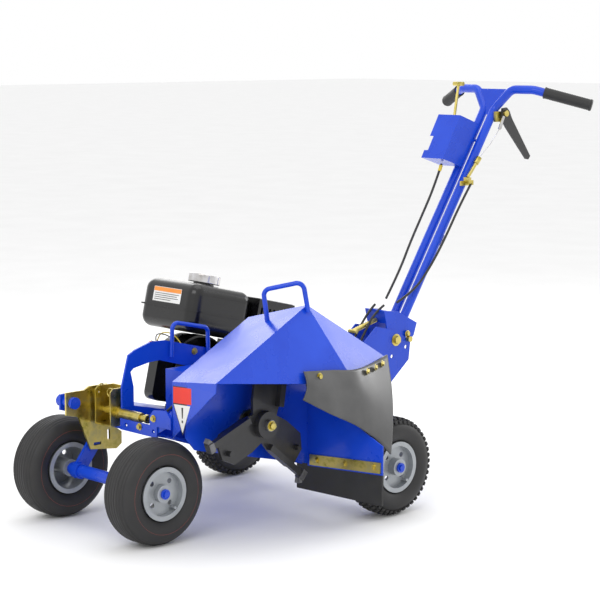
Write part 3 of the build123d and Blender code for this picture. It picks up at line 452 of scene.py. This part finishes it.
# ---------------------------------------------------------------- cables
CLUTCH_CABLE = [(-72, 1226, 812), (-70, 1176, 752), (-74, 1122, 664), (-80, 1072, 590),
                (-84, 1006, 520), (-98, 950, 492)]
LOCK_CABLE = [(-154, 1190, 866), (-152, 1156, 800), (-152, 1112, 730), (-150, 1058, 650),
              (-142, 1006, 572), (-136, 946, 500)]
LOWER_LEFT = [(-104, 905, 488), (-108, 870, 468), (-106, 832, 420), (-104, 790, 360),
              (-104, 730, 312), (-106, 660, 300), (-100, 590, 330), (-96, 530, 400)]
LOWER_RIGHT = [(-134, 900, 488), (-133, 868, 466), (-134, 826, 410), (-138, 780, 350),
               (-142, 716, 300), (-140, 650, 284), (-136, 590, 310), (-132, 530, 396)]
FRONT_CABLE = [(-94, 62, 285), (-62, 66, 290), (-30, 74, 318), (-14, 96, 340), (-16, 140, 352)]


def cable(name, route, radius=3.5, body="handle"):
    points = [at(*p) for p in route]
    return smooth_curve(name, points, radius, PLASTIC, body)


clutch_cable = cable("clutch_cable", CLUTCH_CABLE)
cable("lock_cable", LOCK_CABLE)
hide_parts("handle_cables")
front_cable = cable("front_cable", FRONT_CABLE, body="chassis")
cable("lower_cable_left", LOWER_LEFT, body="chassis")
cable("lower_cable_right", LOWER_RIGHT, body="chassis")
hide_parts("frame_cables")


# ---------------------------------------------------------------- labels
PANEL_Y, PANEL_SLOPE = 61.0, -31.0 / 200.0


def warning_part(name, corners, material, off=0.8, thickness=0.2):
    """One layer of the warning sign, from (x, z) corners on the hood's front panel."""
    places = [at(x, PANEL_Y + PANEL_SLOPE * x - off, z) for x, z in corners]
    flat_label(name, places, material, "chassis", (0, -1, 0), thickness)


warning_part("warning_edge", [(4, 384), (92, 392), (92, 348), (86, 344), (48, 268), (4, 340)],
             BLACK_INK, 0.3, 0.4)
warning_part("warning_red", [(6, 382), (90, 390), (90, 350), (6, 342)], RED)
warning_part("warning_triangle", [(8, 339), (85, 346), (48, 274)], WHITE)
warning_part("warning_bar", [(44, 336), (52, 337), (50, 310), (46, 310)], BLACK_INK, 1.1)
warning_part("warning_dot", [(45, 305), (51, 305), (51, 299), (45, 299)], BLACK_INK, 1.1)

PITCH = radians(13.5)
CRANK = (-215.0, 420.0, 330.0)


def on_engine(x, y, z):
    """A point in the engine's own tilted axes."""
    return at(CRANK[0] + x, CRANK[1] + y * cos(PITCH) + z * sin(PITCH),
              CRANK[2] - y * sin(PITCH) + z * cos(PITCH))


ENGINE_FRONT = (0, -cos(PITCH), sin(PITCH))


TANK_FACE_Y, PRINT_OFF = -150.3, 0.5
LABEL_X0, LABEL_X1, LABEL_Z0, LABEL_Z1 = -176, -62, 170, 209
BAND_HEIGHT, LINE_PITCH, LINE_HEIGHT = 12, 5.4, 1.6
LINE_SHORTFALLS = (8, 16, 10, 40)


def tank_rectangle(name, x0, x1, z0, z1, y, material, thickness=0.4):
    """An upright rectangle on the tank's front face, in the engine's own axes."""
    corners = [on_engine(x0, y, z0), on_engine(x1, y, z0), on_engine(x1, y, z1), on_engine(x0, y, z1)]
    flat_label(name, corners, material, "chassis", ENGINE_FRONT, thickness)


def tank_label():
    """A white label with an orange band and four dark lines in place of words."""
    tank_rectangle("tank_label", LABEL_X0, LABEL_X1, LABEL_Z0, LABEL_Z1, TANK_FACE_Y, WHITE)
    band = LABEL_Z1 - BAND_HEIGHT
    y = TANK_FACE_Y - PRINT_OFF
    tank_rectangle("tank_label_band", LABEL_X0 + 1, LABEL_X1 - 1, band, LABEL_Z1 - 1, y, ORANGE, 0.2)
    for i, short in enumerate(LINE_SHORTFALLS):
        z = band - 6 - LINE_PITCH * i
        tank_rectangle("tank_label_line_%d" % i, LABEL_X0 + 6, LABEL_X1 - short, z, z + LINE_HEIGHT, y,
                       BLACK_INK, 0.2)


tank_label()


# ---------------------------------------------------------------- engine details
GRILLE_BARS, GRILLE_EDGE, GRILLE_SHEET, GRILLE_FILL = 9, 12, 1.6, 0.45
FIN_COUNT, FIN_PITCH, FIN_THICKNESS = 6, 9, 3.2
FIN_X0, FIN_X1, FIN_Y0, FIN_Y1 = -104, -10, -94, -86.5


def muffler_grille():
    """A plated guard with two rows of slots over the muffler."""
    x0, x1, y0, y1, z = -106.0, -4.0, 76.0, 200.0, 222.3
    step = (y1 - y0) / GRILLE_BARS
    vertices, faces = [], []

    def slab(xa, xb, ya, yb):
        faces.extend(shifted(BOX_FACES, len(vertices)))
        for height in (z, z + GRILLE_SHEET):
            vertices.extend([on_engine(xa, ya, height), on_engine(xb, ya, height),
                             on_engine(xb, yb, height), on_engine(xa, yb, height)])

    for xa, xb in ((x0, x0 + GRILLE_EDGE), ((x0 + x1) / 2 - 5, (x0 + x1) / 2 + 5), (x1 - GRILLE_EDGE, x1)):
        slab(xa, xb, y0, y1)
    for i in range(GRILLE_BARS):
        slab(x0 + GRILLE_EDGE, x1 - GRILLE_EDGE, y0 + i * step, y0 + i * step + step * GRILLE_FILL)
    add_piece("muffler_grille", vertices, faces, STEEL, "chassis")


def fin_row():
    """Cooling fins that show between the tank and the crankcase."""
    for i in range(FIN_COUNT):
        z = 6 + FIN_PITCH * i
        outline = [on_engine(x, y, z) for x, y in
                   ((FIN_X0, FIN_Y0), (FIN_X1, FIN_Y0), (FIN_X1, FIN_Y1), (FIN_X0, FIN_Y1))]
        flat_label("case_fin_%d" % i, outline, CASTING, "chassis",
                   (0, sin(PITCH), cos(PITCH)), FIN_THICKNESS)


def wire(name, route, material, radius=1.6):
    smooth_curve(name, [on_engine(*p) for p in route], radius, material, "chassis")


muffler_grille()
fin_row()
wire("switch_wire_yellow", [(-188, -100, 64), (-170, -112, 84), (-140, -114, 92), (-110, -104, 88),
                            (-90, -92, 62)], YELLOW)
wire("switch_wire_black", [(-196, -98, 64), (-182, -116, 80), (-150, -120, 86), (-116, -110, 80),
                           (-96, -92, 54)], PLASTIC)


# ---------------------------------------------------------------- small hardware
hex_bolt("rotor_bolt", at(132, 268, 274), (1, 0, 0), 10, ZINC, "rotor")
smooth_curve("hairpin_clip", [at(-286, 60, 331), at(-286, 52, 345), at(-286, 60, 352), at(-286, 72, 344),
                              at(-286, 70, 316), at(-286, 62, 300)], 1.4, ZINC, "chassis")
RING_POINTS = 10
ring_angles = [2 * pi * i / RING_POINTS for i in range(RING_POINTS)]
smooth_curve("pin_ring", [at(-250 + 14 * cos(a), 62, 330 + 12 * sin(a)) for a in ring_angles], 1.5, ZINC,
             "lock_pin", cyclic=True)
hex_bolt("bracket_stud", at(-77.5, 972, 404), (1, 0, 0), 7, ZINC, "chassis")
cylinder_piece("cable_ferrule", at(-154, 1188, 862), at(-153, 1180, 846), 5.2, YELLOW, "handle")
cylinder_piece("lever_spring", at(-74, 1366, 1000), at(-74, 1348, 962), 5.0, CHROME, "handle")
smooth_curve("lever_wire", [at(-74, 1350, 966), at(-74, 1318, 928), at(-76, 1284, 900), at(-76, 1262, 882)],
             1.2, CHROME, "handle")
flat_label("stem_label", [at(-96, 1117, 640), at(-82, 1117, 640), at(-82, 1135, 668), at(-96, 1135, 668)],
           WHITE, "handle", (0, -0.84, 0.55), 0.4)
flat_label("gusset_label", [at(-142, 1357, 1032), at(-98, 1357, 1032), at(-94, 1367, 1056),
                            at(-146, 1367, 1056)], WHITE, "handle", (0, -0.92, 0.38), 0.5)
cylinder_piece("height_pull_rod", at(-120, 799, 423.7), at(-120, 890, 447.2), 6.5, ZINC, "handle")
cylinder_piece("height_pull_bar", at(-135, 800, 424), at(-105, 800, 424), 5.5, ZINC, "handle")


# ---------------------------------------------------------------- stage, lights and camera
FLOOR_HALF, FLOOR_GAP = 40.0, 0.0005
PAPER = [(0.3, (0.90, 0.90, 0.90)), (0.7, (0.93, 0.93, 0.93))]


def stage():
    mesh = bpy.data.meshes.new("floor")
    size = FLOOR_HALF
    mesh.from_pydata([(-size, -size, 0), (size, -size, 0), (size, size, 0), (-size, size, 0)], [],
                     [(0, 1, 2, 3)])
    floor = bpy.data.objects.new("floor", mesh)
    bpy.context.scene.collection.objects.link(floor)
    floor.location.z = cad_box[0][2] - FLOOR_GAP
    material, tree, links = new_material("floor_paper")
    shader = tree["Principled BSDF"]
    links.new(ramp(tree, links, noise(tree, links, 3.0), PAPER), shader.inputs["Base Color"])
    shader.inputs["Roughness"].default_value = 0.9
    shader.inputs["Specular IOR Level"].default_value = 0.1
    mesh.materials.append(material)


def area_light(name, place, target, size, power):
    data = bpy.data.lights.new(name, "AREA")
    data.shape = "RECTANGLE"
    data.size, data.size_y = size
    data.energy = power
    light = bpy.data.objects.new(name, data)
    bpy.context.scene.collection.objects.link(light)
    light.location = place
    light.rotation_euler = (Vector(target) - Vector(place)).to_track_quat("-Z", "Y").to_euler()
    return light


def world_light(strength):
    world = bpy.data.worlds.new("studio")
    bpy.context.scene.world = world
    world.use_nodes = True
    background = world.node_tree.nodes["Background"]
    background.inputs["Color"].default_value = (1.0, 1.0, 1.0, 1.0)
    background.inputs["Strength"].default_value = strength


AZIMUTH, ELEVATION = radians(46.9), radians(8.0)
CAMERA_FROM_WHEEL = Vector((3.4361, -2.7277, 1.0848))
LENS, SENSOR = 110.37, 36.0


def camera():
    data = bpy.data.cameras.new("camera")
    data.lens = LENS
    data.sensor_width = SENSOR
    cam = bpy.data.objects.new("camera", data)
    bpy.context.scene.collection.objects.link(cam)
    cam.location = WHEEL + CAMERA_FROM_WHEEL
    back = Vector((sin(AZIMUTH) * cos(ELEVATION), -cos(AZIMUTH) * cos(ELEVATION), sin(ELEVATION)))
    cam.rotation_euler = (-back).to_track_quat("-Z", "Y").to_euler()
    bpy.context.scene.camera = cam


stage()
world_light(1.0)
area_light("key", (1.2, -3.4, 3.0), (0, 0, 0.4), (2.6, 2.0), 42)
area_light("fill", (-2.9, 1.5, 1.9), (0, -0.3, 0.45), (2.6, 1.6), 26)
area_light("rear", (0.55, 3.4, 1.7), (0.1, 0, 0.45), (1.3, 1.3), 30)
area_light("top", (0, 0.4, 4.0), (0, 0, 0.4), (3.0, 3.0), 30)
camera()
bpy.context.scene.view_settings.view_transform = "Standard"
